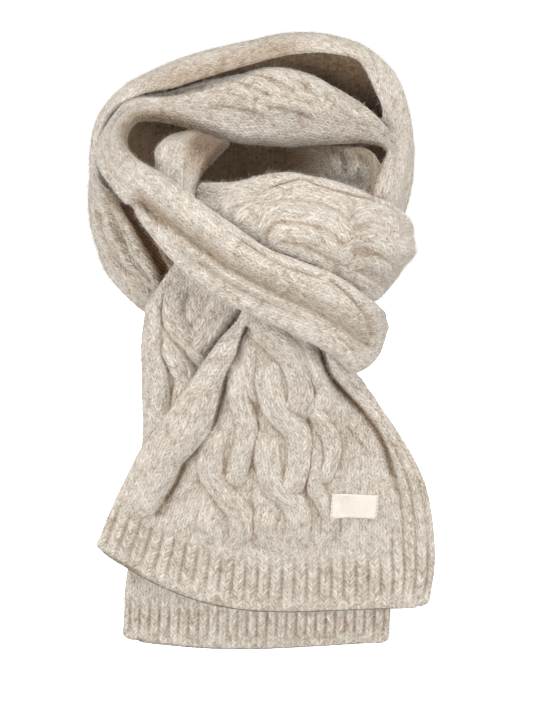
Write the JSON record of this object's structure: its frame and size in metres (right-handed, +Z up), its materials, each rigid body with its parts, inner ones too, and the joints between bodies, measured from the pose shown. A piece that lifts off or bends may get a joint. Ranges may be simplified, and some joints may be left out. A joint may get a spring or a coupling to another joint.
{
  "type": "knit scarf",
  "caption": "Brushed cable-knit scarf wound round the neck, its ribbed ends pulled through the front loop and hanging.",
  "frame": {"origin": "centre of the wearer's neck, at the height of the neck hollow", "axes": "+X to the wearer's left, as seen to the right from the front; +Y towards the wearer's back; +Z up"},
  "size_m": [0.2569, 0.2333, 0.4343],
  "materials": {
    "oatmeal_knit": "brushed heather knit",
    "cream_tape": "woven tape"
  },
  "bodies": {
    "root": {"nape_outer": "oatmeal_knit", "left_wrap": "oatmeal_knit", "loop_back": "oatmeal_knit", "nape_inner": "oatmeal_knit", "left_turn": "oatmeal_knit", "crossing_wrap": "oatmeal_knit", "front_wrap": "oatmeal_knit", "throat_wrap": "oatmeal_knit", "throat_fold": "oatmeal_knit", "front_tail": "oatmeal_knit", "front_tail_rib": "oatmeal_knit", "back_tail": "oatmeal_knit", "back_tail_rib": "oatmeal_knit", "label": "cream_tape"}
  },
  "joints": []
}
